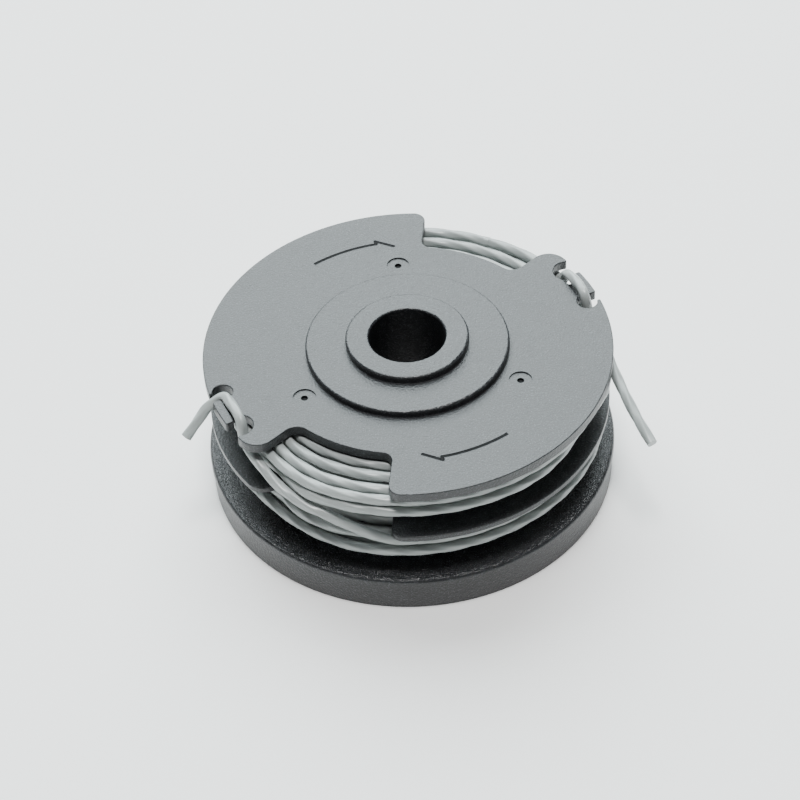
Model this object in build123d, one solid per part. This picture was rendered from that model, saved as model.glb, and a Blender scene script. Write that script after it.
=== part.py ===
from build123d import *
import os
from math import acos, asin, cos, degrees, pi, radians, sin, tan

# Trimmer line spool: a one-piece moulding with two line grooves, wound with two lines.
# Millimetres, +Z up the bore axis, origin at the centre of the face that it rests on.

# The line and how it lies
line_d = 2.03
line_r = line_d / 2
lay_gap = 0.1

# Heights, stacked from the resting face upwards
skirt_h = 5.5
base_t = 1.8
lower_groove_h = 9.6
mid_t = 1.1
upper_groove_h = 9.7
flange_t = 1.9
outer_boss_h = 1.3
inner_boss_h = 1.45
base_top = skirt_h + base_t
mid_bottom = base_top + lower_groove_h
mid_top = mid_bottom + mid_t
flange_bottom = mid_top + upper_groove_h
flange_top = flange_bottom + flange_t
step_top = flange_top + outer_boss_h
boss_top = step_top + inner_boss_h

# Radii of the round forms
bore_r = 7.15
hub_wall = 2.6
inner_boss_r = 11.5
outer_boss_r = 19.0
drum_r = 26.5
drum_wall = 2.0
flange_r = 38.2
mid_r = 37.7
base_r = 38.8
skirt_r = 38.5
skirt_wall = 2.0
hub_r = bore_r + hub_wall
cavity_r = drum_r - drum_wall
dish_r = skirt_r - skirt_wall

# Rounded edges
boss_round = 0.5
bore_round = 0.4
lip_round = 0.7
foot_round = 0.15
rim_round = 0.2

# Windows through the top and middle flanges, one on each side of the axis
window_r = 28.1
window_ear_deg = 42.2
window_heel_deg = 82.4
window_ear_fillet = 2.6
window_heel_fillet = 2.0
ear_round = 3.7
heel_round = 2.3

# Line catches in the top flange: a rim tongue between an inlet hole, open at the rim, and an outlet hole,
# which a thin rim hook almost closes, with the channel behind the tongue
tongue_start_deg = 18.7
tongue_end_deg = 28.6
tongue_w = 1.65
tongue_round = 0.8
catch_round = 0.4
inlet_r = 2.65
inlet_deg = 30.75
inlet_inset = 1.8
outlet_r = 1.9
outlet_lead = 1.7446
hook_w = 0.6
hook_round = 0.27
outlet_centre_r = flange_r - hook_w - outlet_r
outlet_deg = tongue_start_deg - degrees(outlet_lead / outlet_centre_r)
mouth_deg = tongue_start_deg - degrees((line_d + lay_gap) / flange_r)
channel_w = 2.2
channel_depth = 1.1
channel_out_r = flange_r - tongue_w
channel_in_r = channel_out_r - channel_w

# Round ejector marks on the top face
mark_count = 3
mark_first_deg = -27.6
mark_circle_r = 22.9
mark_r = 2.15
mark_depth = 0.25
dimple_r = 0.6
dimple_depth = 0.3

# Underside
hub_bottom = 6.5
web_t = 2.3
rib_count = 6
rib_t = 1.4
rib_bottom = 23.0
lug_count = 8
lug_deg = 10.0
lug_depth = 2.6
lug_foot = 1.2

# Turns of each winding: two rows hung below the flange above, each layer's step out from the first
upper_hang = 0.5
lower_hang = 1.2
row_drop = 2.15
upper_layers = (0.0, 2.9, 5.8, 8.7)
upper_row_shift = 0.7
lower_layers = (0.0, 2.8, 5.7, 7.8)
lower_row_shift = 0.9

# Where the outermost turns lie, degrees about the axis
upper_pair_arcs = ((-127.0, -15.0), (62.0, 180.0))
upper_single_arc = (-15.0, 62.0)
lower_outer_arc = (-90.0, 185.0)

# Routes of the two line ends: the straight run that leaves the outer turn, then on to the cut end
upper_leave = 5.4
lower_leave = 4.2
upper_route = [
    (26.20, 25.55, 26.15),
    (28.60, 22.80, 26.05),
    (30.60, 19.50, 26.00),
    (30.85, 17.95, 29.60),
    (31.95, 15.85, 30.55),
    (33.30, 12.70, 30.60),
    (34.10, 10.60, 29.95),
    (34.50, 9.90, 26.20),
    (36.50, 2.20, 26.20),
    (37.78, -5.31, 26.10),
    (39.47, -11.84, 25.20),
    (41.66, -18.19, 23.80),
    (43.43, -21.90, 22.60),
]
lower_route = [
    (-9.30, -34.80, 15.30),
    (-15.00, -33.10, 17.75),
    (-20.70, -29.85, 20.70),
    (-25.30, -26.10, 23.00),
    (-28.40, -22.95, 24.80),
    (-30.55, -19.60, 26.00),
    (-30.75, -18.00, 29.60),
    (-31.50, -16.10, 30.05),
    (-32.70, -13.55, 30.00),
    (-33.92, -10.43, 29.55),
    (-37.37, -11.50, 27.60),
    (-38.44, -12.42, 26.35),
    (-41.50, -14.61, 23.20),
]


def polar(radius, angle):
    return (radius * cos(radians(angle)), radius * sin(radians(angle)))


def both_sides(shape):
    return shape + Rot(Z=180) * shape


def ring_sector(inner, outer, start, end):
    middle = (start + end) / 2
    return make_face(
        [
            Line(polar(inner, start), polar(outer, start)),
            ThreePointArc(polar(outer, start), polar(outer, middle), polar(outer, end)),
            Line(polar(outer, end), polar(inner, end)),
            ThreePointArc(polar(inner, end), polar(inner, middle), polar(inner, start)),
        ]
    )


def rounded(face, corner, radius):
    vertex = face.vertices().sort_by_distance((corner[0], corner[1], 0))[0]
    return fillet(vertex, radius)


def window(reach):
    face = ring_sector(window_r, reach, window_ear_deg, window_heel_deg)
    face = rounded(face, polar(window_r, window_ear_deg), window_ear_fillet)
    return rounded(face, polar(window_r, window_heel_deg), window_heel_fillet)


def corner_size(size, inner_fillet, radius):
    return min(size, radius - window_r - inner_fillet - lay_gap)


def windowed_disc(radius):
    face = Circle(radius) - both_sides(window(radius + flange_t))
    ear = corner_size(ear_round, window_ear_fillet, radius)
    heel = corner_size(heel_round, window_heel_fillet, radius)
    for turn in (0, 180):
        face = rounded(face, polar(radius, window_ear_deg + turn), ear)
        face = rounded(face, polar(radius, window_heel_deg + turn), heel)
    return face - Circle(drum_r - drum_wall / 2)


def inlet_corner():
    centre_r = flange_r - inlet_inset
    spread = acos((flange_r**2 + centre_r**2 - inlet_r**2) / (2 * flange_r * centre_r))
    wedge = acos((flange_r**2 + inlet_r**2 - centre_r**2) / (2 * flange_r * inlet_r))
    return inlet_deg + degrees(spread), wedge


def top_flange():
    reach = flange_r + tongue_w
    tongue = ring_sector(channel_out_r, reach, tongue_start_deg, tongue_end_deg)
    tongue = rounded(tongue, polar(channel_out_r, tongue_start_deg), tongue_round)
    tongue = rounded(tongue, polar(channel_out_r, tongue_end_deg), catch_round)
    inlet = Pos(*polar(flange_r - inlet_inset, inlet_deg)) * Circle(inlet_r) - tongue
    outlet = Pos(*polar(outlet_centre_r, outlet_deg)) * Circle(outlet_r)
    outlet += ring_sector(outlet_centre_r, reach, mouth_deg, tongue_start_deg)
    face = windowed_disc(flange_r) - both_sides(inlet) - both_sides(outlet)
    ear = corner_size(ear_round, window_ear_fillet, flange_r)
    ear_corner, wedge = inlet_corner()
    ear_edge = flange_r * (radians(window_ear_deg - ear_corner) - asin(ear / (flange_r - ear)))
    ear_tip_round = min(catch_round, 0.7 * ear_edge * tan(wedge / 2))
    inlet_side = inlet_deg - degrees(inlet_r / channel_out_r)
    for turn in (0, 180):
        face = rounded(face, polar(channel_out_r, tongue_start_deg + turn), tongue_round)
        face = rounded(face, polar(channel_out_r, inlet_side + turn), hook_round)
        for corner in (tongue_start_deg, tongue_end_deg):
            face = rounded(face, polar(flange_r, corner + turn), catch_round)
        face = rounded(face, polar(flange_r, ear_corner + turn), ear_tip_round)
        face = rounded(face, polar(flange_r, mouth_deg + turn), hook_round)
        face = rounded(face, polar(flange_r - hook_w, mouth_deg + turn), hook_round)
    plate = Pos(0, 0, flange_bottom) * extrude(face, flange_t)
    plate = fillet(plate.edges().group_by(Axis.Z)[-1], rim_round)
    channel = both_sides(ring_sector(channel_in_r, reach, outlet_deg, inlet_deg) - tongue)
    return plate - Pos(0, 0, flange_top - channel_depth) * extrude(channel, flange_t)


def round_body():
    outline = [
        (bore_r, hub_bottom),
        (bore_r, boss_top),
        (inner_boss_r, boss_top),
        (inner_boss_r, step_top),
        (outer_boss_r, step_top),
        (outer_boss_r, flange_top),
        (drum_r, flange_top),
        (drum_r, base_top),
        (base_r, base_top),
        (base_r, skirt_h),
        (skirt_r, skirt_h),
        (skirt_r, 0),
        (dish_r, 0),
        (dish_r, skirt_h),
        (cavity_r, skirt_h),
        (cavity_r, flange_top - web_t),
        (outer_boss_r - web_t, flange_top - web_t),
        (outer_boss_r - web_t, step_top - web_t),
        (hub_r, step_top - web_t),
        (hub_r, hub_bottom),
    ]
    face = make_face(Polyline(*outline, close=True))
    face = rounded(face, (inner_boss_r, boss_top), boss_round)
    face = rounded(face, (outer_boss_r, step_top), boss_round)
    face = rounded(face, (bore_r, boss_top), bore_round)
    face = rounded(face, (base_r, base_top), lip_round)
    face = rounded(face, (skirt_r, 0), foot_round)
    return revolve(Plane.XZ * face, Axis.Z)


def ribs():
    length = cavity_r - hub_r + (hub_wall + drum_wall) / 2
    height = flange_top - web_t / 2 - rib_bottom
    rib = Box(length, rib_t, height, align=(Align.MIN, Align.CENTER, Align.MIN))
    rib = Pos(hub_r - hub_wall / 2, 0, rib_bottom) * rib
    return [Rot(Z=360 * i / rib_count) * rib for i in range(rib_count)]


def lugs():
    face = ring_sector(dish_r - lug_depth, dish_r + skirt_wall / 2, -lug_deg / 2, lug_deg / 2)
    lug = Pos(0, 0, lug_foot) * extrude(face, skirt_h + base_t / 2 - lug_foot)
    return [Rot(Z=360 * (i + 0.5) / lug_count) * lug for i in range(lug_count)]


def ejector_marks():
    mark = Cylinder(mark_r, 2 * mark_depth) + Cylinder(dimple_r, 2 * (mark_depth + dimple_depth))
    step = 360 / mark_count
    spots = [polar(mark_circle_r, mark_first_deg + step * i) for i in range(mark_count)]
    return [Pos(x, y, flange_top) * mark for x, y in spots]


def spool():
    middle = Pos(0, 0, mid_bottom) * extrude(windowed_disc(mid_r), mid_t)
    middle = fillet(middle.edges().group_by(Axis.Z)[-1], rim_round)
    body = round_body() + [top_flange(), middle] + ribs() + lugs()
    return body - ejector_marks()


def turn_rows(seat, hang, steps, row_shift):
    first = drum_r + lay_gap + line_r
    height = seat - hang - line_r
    return [(first + s, height) for s in steps], [(first + s + row_shift, height - row_drop) for s in steps]


def bundle(corners, turns):
    face = make_face(Polyline(*corners, close=True))
    return Plane.XZ * (face + [Pos(r, z) * Circle(line_r) for r, z in turns])


def swept(face, arc):
    return Rot(Z=arc[0]) * revolve(face, Axis.Z, arc[1] - arc[0])


def upper_winding(top, low):
    inner = drum_r + lay_gap
    core = [(inner, top[0][1])] + top[:-1] + low[-2::-1] + [(inner, low[0][1])]
    single = bundle([top[-2], low[-1], low[-2]], [low[-1]])
    pair = bundle([top[-2], top[-1], low[-1], low[-2]], [top[-1], low[-1]])
    full = revolve(bundle(core, top[:-1] + low[:-1]), Axis.Z)
    return full + [swept(pair, arc) for arc in upper_pair_arcs] + [swept(single, upper_single_arc)]


def lower_winding(top, low):
    inner = drum_r + lay_gap
    core = [(inner, top[0][1])] + top[:-1] + low[::-1] + [(inner, low[0][1])]
    outer = bundle([top[-2], top[-1], low[-1]], [top[-1]])
    return revolve(bundle(core, top[:-1] + low), Axis.Z) + swept(outer, lower_outer_arc)


def line_end(name, turn, angle, leave, route):
    start = Vector(*polar(turn[0], angle), turn[1])
    along = Vector(*polar(leave, angle - 90), 0)
    points = [start, start + along] + [Vector(*p) for p in route]
    runs = [b - a for a, b in zip(points, points[1:])]
    turns = [a.get_angle(b) for a, b in zip(runs, runs[1:])]
    shorter = [min(a.length, b.length) for a, b in zip(runs, runs[1:])]
    bends = [0.45 * s / tan(radians(t) / 2) for s, t in zip(shorter, turns)]
    path = FilletPolyline(*points, radius=bends)
    tube = sweep(Plane(path @ 0, z_dir=path % 0) * Circle(line_r), path)
    print(name, "bend radii", [round(b, 1) for b in bends])
    print(name, "turns", [round(t) for t in turns], "runs", [round(r.length, 1) for r in runs])
    print(name, "length", round(path.length, 1), "volume share", tube.volume / (pi * line_r**2 * path.length))
    return tube


upper_top, upper_low = turn_rows(flange_bottom, upper_hang, upper_layers, upper_row_shift)
lower_top, lower_low = turn_rows(mid_bottom, lower_hang, lower_layers, lower_row_shift)
parts = {
    "spool": spool(),
    "upper_winding": upper_winding(upper_top, upper_low),
    "lower_winding": lower_winding(lower_top, lower_low),
    "upper_line_end": line_end("upper", upper_top[-1], upper_pair_arcs[1][0], upper_leave, upper_route),
    "lower_line_end": line_end("lower", lower_top[-1], lower_outer_arc[0], lower_leave, lower_route),
}
os.makedirs("parts", exist_ok=True)
for node, shape in parts.items():
    export_step(shape, f"parts/{node}.step")
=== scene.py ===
import math
import bpy
from mathutils import Matrix, Vector


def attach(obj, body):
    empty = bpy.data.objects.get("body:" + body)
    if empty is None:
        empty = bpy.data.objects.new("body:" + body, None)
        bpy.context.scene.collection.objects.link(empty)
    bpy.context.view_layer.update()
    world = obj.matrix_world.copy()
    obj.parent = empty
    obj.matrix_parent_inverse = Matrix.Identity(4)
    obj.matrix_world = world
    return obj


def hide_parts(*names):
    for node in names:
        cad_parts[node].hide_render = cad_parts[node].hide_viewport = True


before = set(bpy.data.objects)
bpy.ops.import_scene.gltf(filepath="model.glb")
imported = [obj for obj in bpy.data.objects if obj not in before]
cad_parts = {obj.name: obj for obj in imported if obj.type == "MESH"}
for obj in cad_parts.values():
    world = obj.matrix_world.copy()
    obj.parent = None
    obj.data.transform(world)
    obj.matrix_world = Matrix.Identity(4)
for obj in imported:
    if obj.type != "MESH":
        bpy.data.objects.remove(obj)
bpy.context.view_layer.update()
mm = 0.001
print("frame loaded:", ", ".join(sorted(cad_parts)))


def hexColour(code):
    parts = [int(code[i:i + 2], 16) / 255 for i in (1, 3, 5)]
    return [c / 12.92 if c <= 0.04045 else ((c + 0.055) / 1.055) ** 2.4 for c in parts] + [1.0]


def addNode(tree, kind, settings=None, inputs=None, links=None):
    node = tree.nodes.new(kind)
    for name, value in (settings or {}).items():
        setattr(node, name, value)
    for key, value in (inputs or {}).items():
        node.inputs[key].default_value = value
    for key, source in (links or {}).items():
        tree.links.new(source, node.inputs[key])
    return node


def newMaterial(name):
    material = bpy.data.materials.new(name)
    material.use_nodes = True
    return material, material.node_tree, material.node_tree.nodes["Principled BSDF"]


def keepOnly(node, material):
    node.data.materials.clear()
    node.data.materials.append(material)


def asPiece(obj, material, replaced):
    if not obj.data.materials:
        obj.data.materials.append(material)
    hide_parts(*replaced)
    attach(obj, "root")
    return obj


# the camera stands where the photographer's did, found from the circles of the flanges, boss and bore
photoView = {"elevation": 44.28, "roll": -3.01, "aimX": 1.41, "aimY": 10.10, "distance": 470.0,
             "focalPixels": 2527.9, "framePixels": 800, "sensor": 36.0, "topFace": 29.6,
             "clip": (0.01, 20.0)}


def addCamera(v):
    e, r = math.radians(v["elevation"]), math.radians(v["roll"])
    flatRight, flatUp = Vector((1, 0, 0)), Vector((0, math.sin(e), math.cos(e)))
    ahead = Vector((0, math.cos(e), -math.sin(e)))
    right = flatRight * math.cos(r) + flatUp * math.sin(r)
    up = flatUp * math.cos(r) - flatRight * math.sin(r)
    place = Vector((0, 0, v["topFace"])) - (right * v["aimX"] + up * v["aimY"] + ahead * v["distance"])
    data = bpy.data.cameras.new("photoCamera")
    data.sensor_width = v["sensor"]
    data.lens = v["focalPixels"] * v["sensor"] / v["framePixels"]
    data.clip_start, data.clip_end = v["clip"]
    camera = bpy.data.objects.new("photoCamera", data)
    bpy.context.scene.collection.objects.link(camera)
    camera.matrix_world = Matrix.Translation(place * mm) @ Matrix((right, up, -ahead)).transposed().to_4x4()
    bpy.context.scene.camera = camera


addCamera(photoView)
print("camera placed")


# glass-filled nylon, moulded in a fine spark-eroded tool: near-black, with a soft sheen and pale fibre flecks
spoolSkin = {"dark": "#17181a", "light": "#202224", "fleck": "#46494c", "cloudSize": 6.0, "fleckSize": 0.26,
             "fleckRange": (0.58, 0.72), "grainSize": 0.40, "grainDepth": 0.16, "grainStrength": 0.8,
             "roughness": (0.28, 0.40), "specular": (0.5, 0.05), "ior": 1.53}
# the base flange came from a coarser part of the tool, so its upper face glitters
coarseFace = {"from": 7.2, "to": 7.6, "grainSize": 0.21, "grainDepth": 0.18, "glossier": 0.18}
# the pips in the ejector marks, too deep and narrow for light to reach their floor, which is painted shade in
# the arrows' near-black floor colour
ejectorPip = {"count": 3, "first": -27.6, "circle": 22.9, "radius": 0.68, "above": 28.9}
# the arrows sunk in the top face, one opposite the other: an arc with one barb that points with the clock;
# their floor colour is painted shade, near-black where little light reaches the narrow strokes
windingArrow = {"radius": 29.7, "from": -80.3, "to": -55.0, "end": (4.98, -29.23), "corner": (5.14, -30.11),
                "tip": (1.60, -28.42), "stroke": 0.54, "depth": 0.3, "above": 29.3, "floor": "#050506"}
# the witness lines where the tool's two slides met, on the rim of the middle flange
slideLine = {"azimuth": -25.8, "width": 0.22, "from": 16.7, "to": 18.2, "beyond": 36.6, "height": 0.08}


def calc(tree, operation, *terms):
    node = addNode(tree, "ShaderNodeMath", {"operation": operation})
    for k, term in enumerate(terms):
        if isinstance(term, (int, float)):
            node.inputs[k].default_value = term
        else:
            tree.links.new(term, node.inputs[k])
    return node.outputs[0]


def vectorCalc(tree, operation, inputs=None, links=None):
    return addNode(tree, "ShaderNodeVectorMath", {"operation": operation}, inputs, links).outputs


def remap(tree, value, start=(0.0, 1.0), finish=(0.0, 1.0)):
    limits = {"From Min": start[0], "From Max": start[1], "To Min": finish[0], "To Max": finish[1]}
    return addNode(tree, "ShaderNodeMapRange", inputs=limits, links={"Value": value}).outputs["Result"]


def noise(tree, place, size, detail):
    return addNode(tree, "ShaderNodeTexNoise", inputs={"Scale": 1 / (size * mm), "Detail": detail},
                   links={"Vector": place}).outputs["Fac"]


def softBelow(tree, distance, limit, edge=0.06 * mm):
    return remap(tree, distance, (limit - edge, limit + edge), (1.0, 0.0))


def strokeDistance(tree, spot, start, finish):
    a, b = Vector((*start, 0)) * mm, Vector((*finish, 0)) * mm
    run = b - a
    near = vectorCalc(tree, "SUBTRACT", {1: a}, {0: spot})["Vector"]
    share = vectorCalc(tree, "DOT_PRODUCT", {1: run / run.length_squared}, {0: near})["Value"]
    held = addNode(tree, "ShaderNodeClamp", links={"Value": share}).outputs["Result"]
    foot = vectorCalc(tree, "SCALE", {0: run}, {"Scale": held})["Vector"]
    return vectorCalc(tree, "DISTANCE", links={0: near, 1: foot})["Value"]


def arrowMask(tree, xyz, form):
    # the half with y above zero is turned onto the other, so that one arrow is drawn twice
    turn = calc(tree, "SUBTRACT", 1.0, calc(tree, "MULTIPLY", calc(tree, "GREATER_THAN", xyz["Y"], 0.0), 2.0))
    x, y = calc(tree, "MULTIPLY", xyz["X"], turn), calc(tree, "MULTIPLY", xyz["Y"], turn)
    spot = addNode(tree, "ShaderNodeCombineXYZ", links={"X": x, "Y": y}).outputs["Vector"]
    radius = vectorCalc(tree, "LENGTH", links={0: spot})["Value"]
    azimuth = calc(tree, "ARCTAN2", y, x)
    half = form["stroke"] / 2 * mm
    arc = softBelow(tree, calc(tree, "ABSOLUTE", calc(tree, "SUBTRACT", radius, form["radius"] * mm)), half)
    span = calc(tree, "MULTIPLY", calc(tree, "GREATER_THAN", azimuth, math.radians(form["from"])),
                calc(tree, "LESS_THAN", azimuth, math.radians(form["to"])))
    strokes = calc(tree, "MULTIPLY", arc, span)
    for start, finish in ((form["end"], form["corner"]), (form["corner"], form["tip"])):
        barb = softBelow(tree, strokeDistance(tree, spot, start, finish), half)
        strokes = calc(tree, "MAXIMUM", strokes, barb)
    return calc(tree, "MULTIPLY", strokes, calc(tree, "GREATER_THAN", xyz["Z"], form["above"] * mm))


def slideMask(tree, xyz, form):
    a = math.radians(form["azimuth"])
    across = calc(tree, "ABSOLUTE", calc(tree, "SUBTRACT", calc(tree, "MULTIPLY", xyz["X"], math.sin(a)),
                                         calc(tree, "MULTIPLY", xyz["Y"], math.cos(a))))
    out = calc(tree, "ABSOLUTE", calc(tree, "ADD", calc(tree, "MULTIPLY", xyz["X"], math.cos(a)),
                                      calc(tree, "MULTIPLY", xyz["Y"], math.sin(a))))
    mask = calc(tree, "MULTIPLY", softBelow(tree, across, form["width"] / 2 * mm),
                calc(tree, "GREATER_THAN", out, form["beyond"] * mm))
    for operation, limit in (("GREATER_THAN", form["from"]), ("LESS_THAN", form["to"])):
        mask = calc(tree, "MULTIPLY", mask, calc(tree, operation, xyz["Z"], limit * mm))
    return mask


def pipMask(tree, place, xyz, form):
    flat = vectorCalc(tree, "MULTIPLY", {1: (1, 1, 0)}, {0: place})["Vector"]
    near = None
    for k in range(form["count"]):
        a = math.radians(form["first"] + 360 * k / form["count"])
        at = Vector((math.cos(a), math.sin(a), 0)) * form["circle"] * mm
        gap = vectorCalc(tree, "DISTANCE", {1: at}, {0: flat})["Value"]
        near = gap if near is None else calc(tree, "MINIMUM", near, gap)
    top = calc(tree, "GREATER_THAN", xyz["Z"], form["above"] * mm)
    return calc(tree, "MULTIPLY", softBelow(tree, near, form["radius"] * mm), top)


def mixed(tree, share, a, b):
    mix = addNode(tree, "ShaderNodeMix", {"data_type": "RGBA"}, links={"Factor": share})
    for key, value in (("A", a), ("B", b)):
        if isinstance(value, str):
            mix.inputs[key].default_value = hexColour(value)
        else:
            tree.links.new(value, mix.inputs[key])
    return mix.outputs["Result"]


def glassFilledNylon(skin, arrow, seam, coarse, pip):
    material, tree, shader = newMaterial("glassFilledNylon")
    place = addNode(tree, "ShaderNodeTexCoord").outputs["Object"]
    xyz = addNode(tree, "ShaderNodeSeparateXYZ", links={"Vector": place}).outputs
    sunk, raised = arrowMask(tree, xyz, arrow), slideMask(tree, xyz, seam)
    paintedShade = calc(tree, "MAXIMUM", sunk, pipMask(tree, place, xyz, pip))
    rough = calc(tree, "MULTIPLY", calc(tree, "GREATER_THAN", xyz["Z"], coarse["from"] * mm),
                 calc(tree, "LESS_THAN", xyz["Z"], coarse["to"] * mm))
    # cloudy tone a few millimetres wide, from how the melt flowed, then flecks of fibre at the skin
    fleck = noise(tree, place, skin["fleckSize"], 1.0)
    tone = mixed(tree, noise(tree, place, skin["cloudSize"], 3.0), skin["dark"], skin["light"])
    tone = mixed(tree, remap(tree, fleck, skin["fleckRange"]), tone, skin["fleck"])
    # painted shade: the arrows' strokes and the pips take the near-black floor colour, for the shadow in
    # these narrow recesses
    tree.links.new(mixed(tree, paintedShade, tone, arrow["floor"]), shader.inputs["Base Color"])
    gloss = calc(tree, "SUBTRACT", remap(tree, fleck, finish=skin["roughness"]),
                 calc(tree, "MULTIPLY", rough, coarse["glossier"]))
    tree.links.new(gloss, shader.inputs["Roughness"])
    shader.inputs["IOR"].default_value = skin["ior"]
    # little light gets down into the arrows' strokes and the pips, so their sheen is turned down as painted
    # shade
    sheen = remap(tree, paintedShade, finish=skin["specular"])
    tree.links.new(sheen, shader.inputs["Specular IOR Level"])
    level = calc(tree, "SUBTRACT", calc(tree, "MULTIPLY", raised, seam["height"]),
                 calc(tree, "MULTIPLY", sunk, arrow["depth"]))
    form = addNode(tree, "ShaderNodeBump", inputs={"Strength": 1.0, "Distance": mm}, links={"Height": level})
    elsewhere = calc(tree, "SUBTRACT", 1.0, rough)
    fine = calc(tree, "MULTIPLY", elsewhere, noise(tree, place, skin["grainSize"], 2.0))
    grain = addNode(tree, "ShaderNodeBump", links={"Height": fine, "Normal": form.outputs["Normal"]},
                    inputs={"Strength": skin["grainStrength"], "Distance": skin["grainDepth"] * mm})
    bright = calc(tree, "MULTIPLY", rough, noise(tree, place, coarse["grainSize"], 1.0))
    spark = addNode(tree, "ShaderNodeBump", inputs={"Strength": 1.0, "Distance": coarse["grainDepth"] * mm},
                    links={"Height": bright, "Normal": grain.outputs["Normal"]})
    tree.links.new(spark.outputs["Normal"], shader.inputs["Normal"])
    return material


# nylon monofilament, drawn and twisted: pale grey, milky, with a soft gloss along its ridges
lineSkin = {"dark": "#8d9290", "light": "#a1a6a5", "milkSize": 9.0, "roughness": 0.30, "ior": 1.53,
            "scatter": 0.10, "scatterRadius": (1.0, 1.0, 0.9), "scatterDepth": 0.6,
            "drawnSize": 0.3, "drawnDepth": 0.03, "drawnStrength": 0.15}


def drawnNylon(skin):
    material, tree, shader = newMaterial("drawnNylonLine")
    place = addNode(tree, "ShaderNodeTexCoord").outputs["Object"]
    # faint milky change of tone every centimetre or so
    tone = mixed(tree, noise(tree, place, skin["milkSize"], 2.0), skin["dark"], skin["light"])
    tree.links.new(tone, shader.inputs["Base Color"])
    shader.inputs["Roughness"].default_value = skin["roughness"]
    shader.inputs["IOR"].default_value = skin["ior"]
    shader.inputs["Subsurface Weight"].default_value = skin["scatter"]
    shader.inputs["Subsurface Radius"].default_value = skin["scatterRadius"]
    shader.inputs["Subsurface Scale"].default_value = skin["scatterDepth"] * mm
    # fine marks from drawing
    bump = addNode(tree, "ShaderNodeBump", links={"Height": noise(tree, place, skin["drawnSize"], 2.0)},
                   inputs={"Strength": skin["drawnStrength"], "Distance": skin["drawnDepth"] * mm})
    tree.links.new(bump.outputs["Normal"], shader.inputs["Normal"])
    return material


spoolNylon = glassFilledNylon(spoolSkin, windingArrow, slideLine, coarseFace, ejectorPip)
lineNylon = drawnNylon(lineSkin)
keepOnly(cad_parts["spool"], spoolNylon)
print("materials made")

# the line: 0.080 inch, a rounded square section twisted as it was drawn
lineForm = {"diameter": 2.03, "lobes": 4, "ridge": 0.11, "pitch": 25.0, "sides": 24, "sharpAbove": 50.0}


def twistedLineTree(material):
    tree = bpy.data.node_groups.new("twistedLine", "GeometryNodeTree")
    tree.interface.new_socket("Geometry", in_out="INPUT", socket_type="NodeSocketGeometry")
    for name in ("Diameter", "Ridge", "Pitch", "Lobes"):
        tree.interface.new_socket(name, in_out="INPUT", socket_type="NodeSocketFloat")
    tree.interface.new_socket("Sides", in_out="INPUT", socket_type="NodeSocketInt")
    tree.interface.new_socket("Geometry", in_out="OUTPUT", socket_type="NodeSocketGeometry")
    given = addNode(tree, "NodeGroupInput").outputs
    path = addNode(tree, "GeometryNodeMeshToCurve", links={"Mesh": given["Geometry"]})
    along = addNode(tree, "GeometryNodeSplineParameter").outputs["Length"]
    tilt = calc(tree, "MULTIPLY", calc(tree, "DIVIDE", along, given["Pitch"]), math.tau)
    twisted = addNode(tree, "GeometryNodeSetCurveTilt", links={"Curve": path.outputs["Curve"], "Tilt": tilt})
    radius = calc(tree, "MULTIPLY", given["Diameter"], 0.5)
    ring = addNode(tree, "GeometryNodeCurvePrimitiveCircle",
                   links={"Resolution": given["Sides"], "Radius": radius}).outputs["Curve"]
    spot = addNode(tree, "GeometryNodeInputPosition").outputs["Position"]
    parts = addNode(tree, "ShaderNodeSeparateXYZ", links={"Vector": spot}).outputs
    angle = calc(tree, "ARCTAN2", parts["Y"], parts["X"])
    wave = calc(tree, "COSINE", calc(tree, "MULTIPLY", angle, given["Lobes"]))
    dip = addNode(tree, "ShaderNodeMapRange", inputs={"From Min": -1.0, "To Max": 1.0},
                  links={"Value": wave, "To Min": calc(tree, "SUBTRACT", 1.0, given["Ridge"])})
    pressed = vectorCalc(tree, "SCALE", links={"Vector": spot, "Scale": dip.outputs["Result"]})["Vector"]
    section = addNode(tree, "GeometryNodeSetPosition", links={"Geometry": ring, "Position": pressed})
    tube = addNode(tree, "GeometryNodeCurveToMesh", inputs={"Fill Caps": True},
                   links={"Curve": twisted.outputs["Curve"], "Profile Curve": section.outputs["Geometry"]})
    real = addNode(tree, "GeometryNodeRealizeInstances", links={"Geometry": tube.outputs["Mesh"]})
    dressed = addNode(tree, "GeometryNodeSetMaterial", inputs={"Material": material},
                      links={"Geometry": real.outputs["Geometry"]})
    addNode(tree, "NodeGroupOutput", links={"Geometry": dressed.outputs["Geometry"]})
    return tree


lineTree = twistedLineTree(lineNylon)


def lineAlong(name, points):
    path = bpy.data.meshes.new(name)
    path.from_pydata([tuple(p) for p in points], [(i, i + 1) for i in range(len(points) - 1)], [])
    obj = bpy.data.objects.new(name, path)
    bpy.context.scene.collection.objects.link(obj)
    modifier = obj.modifiers.new("twistedLine", "NODES")
    modifier.node_group = lineTree
    values = {"Diameter": lineForm["diameter"] * mm, "Pitch": lineForm["pitch"] * mm,
              "Ridge": lineForm["ridge"], "Lobes": float(lineForm["lobes"]), "Sides": lineForm["sides"]}
    for item in lineTree.interface.items_tree:
        if item.in_out == "INPUT" and item.name in values:
            modifier[item.identifier] = values[item.name]
    made = bpy.data.meshes.new_from_object(obj.evaluated_get(bpy.context.evaluated_depsgraph_get()))
    obj.modifiers.remove(modifier)
    obj.data = made
    made.shade_smooth()
    made.set_sharp_from_angle(angle=math.radians(lineForm["sharpAbove"]))
    return obj


def ease(x):
    x = min(max(x, 0.0), 1.0)
    return x * x * (3 - 2 * x)


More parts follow.
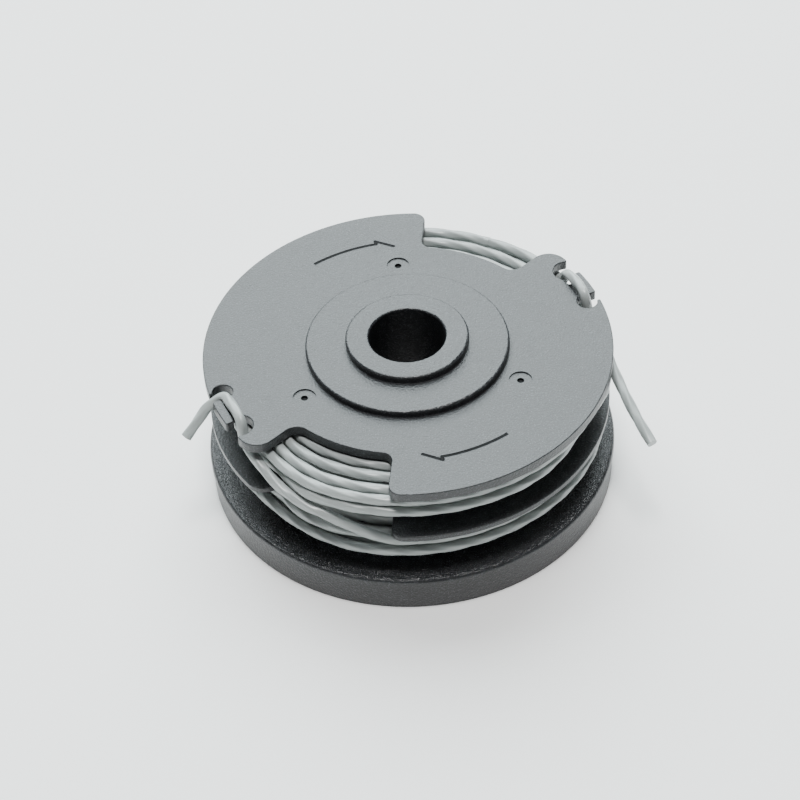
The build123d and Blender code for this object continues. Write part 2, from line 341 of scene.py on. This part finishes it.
def through(stops, x):
    # a smooth run through the stops that never swings past them
    def slope(k):
        if k in (0, len(stops) - 1):
            return 0.0
        (a, u), (b, v), (c, w) = stops[k - 1:k + 2]
        before, after = (v - u) / (b - a), (w - v) / (c - b)
        return 2 * before * after / (before + after) if before * after > 0 else 0.0

    if x <= stops[0][0]:
        return stops[0][1]
    for k in range(len(stops) - 1):
        (a, u), (b, v) = stops[k], stops[k + 1]
        if x <= b:
            t, wide = (x - a) / (b - a), b - a
            return (u + (v - u) * ease(t)
                    + wide * t * (1 - t) * (slope(k) * (1 - t) - slope(k + 1) * t))
    return stops[-1][1]


# each winding is one line laid clockwise, turn after turn. A turn has the height and the radius it holds,
# by azimuth: the turns close up where the other line is led past them. Steps are the azimuth where the line
# leaves each turn for the next and the angle it takes to get there
upperTurns = {
    "start": 92.0, "end": 62.0,
    "turns": [
        ([(0, 26.185)], [(-150, 27.62), (-130, 28.00), (-100, 28.00), (-80, 27.62)]),
        ([(0, 24.035)], [(-190, 28.32), (-166, 28.10), (-140, 28.10), (-112, 28.32)]),
        ([(0, 26.185)], [(-188, 30.52), (-166, 29.66), (-146, 29.66), (-133, 30.45), (-122, 30.70),
                         (-98, 30.70), (-78, 30.52)]),
        ([(0, 24.035)], [(-188, 31.22), (-166, 30.14), (-138, 30.14), (-112, 31.22)]),
        ([(0, 26.185)], [(-188, 33.42), (-166, 31.70), (-146, 31.75), (-135, 32.75), (-128, 33.30),
                         (-118, 33.80), (-98, 33.90), (-78, 33.42)]),
        ([(0, 24.035)], [(-188, 34.12), (-166, 32.20), (-138, 32.20), (-112, 34.12)]),
        ([(-188, 24.035), (-150, 23.80), (-98, 23.80), (20, 24.035)],
         [(-188, 37.00), (-166, 34.25), (-142, 34.25), (-136, 34.40), (-120, 36.60), (-60, 36.80),
          (-20, 37.00)]),
        ([(-188, 26.185), (-150, 25.80), (-98, 25.75), (40, 26.185)],
         [(-188, 36.32), (-166, 33.85), (-146, 33.95), (-135, 34.75), (-128, 35.35), (-121, 35.85),
          (-112, 36.00), (-98, 36.00), (-40, 36.32)]),
    ],
    "steps": [(-246, 19), (-225, 19), (-204, 19), (-183, 19), (-142, 19), (-12, 48), (-10, 19)],
}
lowerTurns = {
    "start": 24.0, "end": -90.0,
    "turns": [
        ([(0, 14.685)], [(0, 27.62)]),
        ([(0, 12.535)], [(-172, 28.30), (-144, 28.15), (-106, 28.30)]),
        ([(0, 14.685)], [(0, 30.42)]),
        ([(0, 12.535)], [(-172, 31.10), (-144, 30.40), (-106, 31.10)]),
        ([(0, 14.685)], [(-170, 33.32), (-138, 33.00), (-130, 33.90), (-122, 34.50), (-115, 34.50),
                         (-97, 33.40), (-80, 33.32)]),
        ([(0, 12.535)], [(-172, 33.85), (-144, 32.45), (-134.5, 32.70), (-126, 33.10), (-119, 33.40),
                         (-106, 33.70), (-80, 33.85)]),
        ([(-110, 12.535), (-60, 12.90), (0, 12.80), (60, 12.535)],
         [(-172, 35.90), (-144, 34.50), (-134.5, 34.75), (-126, 35.15), (-119, 35.50), (-106, 35.85),
          (-80, 35.90)]),
        ([(-90, 15.00), (-60, 15.20), (0, 15.00), (60, 14.685)], [(0, 35.415)]),
    ],
    "steps": [(-288, 19), (-265, 19), (-242, 19), (-219, 19), (-196, 19), (-173, 19), (-150, 19)],
}


# azimuths are counted from here on, the points lie this far apart and the turns' middle radius is this, in mm
turnCount = {"azimuthFrom": -200, "spacing": 1.2, "middleRadius": 32.0}


def turnPoint(t, angle):
    azimuth = (angle - turnCount["azimuthFrom"]) % 360 + turnCount["azimuthFrom"]
    heights = [through(stops, azimuth) for stops, out in t["turns"]]
    radii = [through(stops, azimuth) for up, stops in t["turns"]]
    radius, height = radii[0], heights[0]
    for k, (at, wide) in enumerate(t["steps"]):
        share = ease((at - 360 * k - angle) / wide)
        radius += (radii[k + 1] - radii[k]) * share
        height += (heights[k + 1] - heights[k]) * share
    a = math.radians(angle)
    return Vector((radius * math.cos(a), radius * math.sin(a), height)) * mm


def turnPoints(t):
    first, last = t["steps"][0][0], t["steps"][-1][0]
    angle = first + (t["start"] - first) % 360
    finish = last - 360 * (len(t["steps"]) - 1) - (last - t["end"]) % 360
    count = math.ceil((angle - finish) / math.degrees(turnCount["spacing"] / turnCount["middleRadius"]))
    return [turnPoint(t, angle + (finish - angle) * k / count) for k in range(count + 1)]


for name, turns in (("upper_winding", upperTurns), ("lower_winding", lowerTurns)):
    points = turnPoints(turns)
    winding = lineAlong(name.replace("_w", "W"), points)
    asPiece(winding, lineNylon, [name])

# the free line ends: control points of a smooth curve each. The first stretch of the lower end lies up to
# 2.6 mm from the CAD tube's centre line, higher and further out, to follow the photograph
upperEnd = {
    "name": "upperLineEnd", "node": "upper_line_end",
    "route": [(17.05, 32.07, 26.185), (21.82, 29.53, 26.185), (26.20, 25.55, 26.15), (28.60, 22.80, 26.05),
              (30.60, 19.50, 26.00), (30.85, 17.95, 29.60), (31.95, 15.85, 30.55), (33.30, 12.70, 30.60),
              (34.10, 10.60, 29.95), (34.50, 9.90, 26.20), (36.50, 2.20, 26.20), (37.78, -5.31, 26.10),
              (39.47, -11.84, 25.20), (41.66, -18.19, 23.80), (43.43, -21.90, 22.60)],
}
lowerEnd = {
    "name": "lowerLineEnd", "node": "lower_line_end",
    "route": [(0.0, -35.415, 15.00), (-2.80, -35.49, 15.05), (-6.27, -35.55, 15.90), (-10.77, -35.24, 18.35),
              (-15.75, -33.78, 20.65), (-20.75, -31.33, 21.75), (-24.98, -27.74, 23.10),
              (-28.40, -22.95, 24.80), (-30.55, -19.60, 26.00), (-30.75, -18.00, 29.60),
              (-31.50, -16.10, 30.05), (-32.70, -13.55, 30.00), (-33.92, -10.43, 29.55),
              (-37.37, -11.50, 27.60), (-38.44, -12.42, 26.35), (-41.50, -14.61, 23.20)],
}


routeCurve = {"order": 3, "resolution": 10}


def splinePoints(name, route):
    curve = bpy.data.curves.new(name, "CURVE")
    curve.dimensions = "3D"
    curve.resolution_u = routeCurve["resolution"]
    spline = curve.splines.new("NURBS")
    spline.points.add(len(route) - 1)
    for point, place in zip(spline.points, route):
        point.co = (*[c * mm for c in place], 1.0)
    spline.order_u = routeCurve["order"]
    spline.use_endpoint_u = True
    holder = bpy.data.objects.new(name, curve)
    bpy.context.scene.collection.objects.link(holder)
    mesh = bpy.data.meshes.new_from_object(holder.evaluated_get(bpy.context.evaluated_depsgraph_get()))
    points = [v.co.copy() for v in mesh.vertices]
    bpy.data.objects.remove(holder)
    return points


for end in (upperEnd, lowerEnd):
    points = splinePoints(end["name"] + "Route", end["route"])
    piece = asPiece(lineAlong(end["name"], points), lineNylon, [end["node"]])

# pale floor and soft studio light
studio = {"floor": "#f8f8f7", "floorHalf": 3.0, "floorGlow": 0.1, "floorRoughness": 0.9, "floorSpecular": 0.1,
          "sky": "#ffffff", "skyStrength": 0.15, "aim": (0, 0, 0.02),
          "lamps": [("backSoftbox", 1.6, 72.0, "#ebf6f8", (-0.10, 1.00, 1.05)),
                    ("topSoftbox", 0.30, 15.0, "#ffffff", (0.00, -0.14, 1.20))]}


def addStudio(s):
    half = s["floorHalf"]
    corners = [(-half, -half, 0), (half, -half, 0), (half, half, 0), (-half, half, 0)]
    mesh = bpy.data.meshes.new("paleFloor")
    mesh.from_pydata(corners, [], [(0, 1, 2, 3)])
    floor = bpy.data.objects.new("paleFloor", mesh)
    bpy.context.scene.collection.objects.link(floor)
    # matt white paper
    material, _, shader = newMaterial("palePaper")
    shader.inputs["Base Color"].default_value = hexColour(s["floor"])
    shader.inputs["Roughness"].default_value = s["floorRoughness"]
    shader.inputs["Specular IOR Level"].default_value = s["floorSpecular"]
    shader.inputs["Emission Color"].default_value = hexColour(s["floor"])
    shader.inputs["Emission Strength"].default_value = s["floorGlow"]
    mesh.materials.append(material)
    world = bpy.data.worlds.new("studioAir")
    world.use_nodes = True
    air = world.node_tree.nodes["Background"].inputs
    air["Color"].default_value, air["Strength"].default_value = hexColour(s["sky"]), s["skyStrength"]
    bpy.context.scene.world = world
    for name, size, power, colour, place in s["lamps"]:
        light = bpy.data.lights.new(name, "AREA")
        light.shape, light.size, light.energy = "SQUARE", size, power
        light.color = hexColour(colour)[:3]
        lamp = bpy.data.objects.new(name, light)
        bpy.context.scene.collection.objects.link(lamp)
        lamp.location = place
        lamp.rotation_euler = (Vector(s["aim"]) - Vector(place)).to_track_quat("-Z", "Y").to_euler()


addStudio(studio)
print("studio lit")
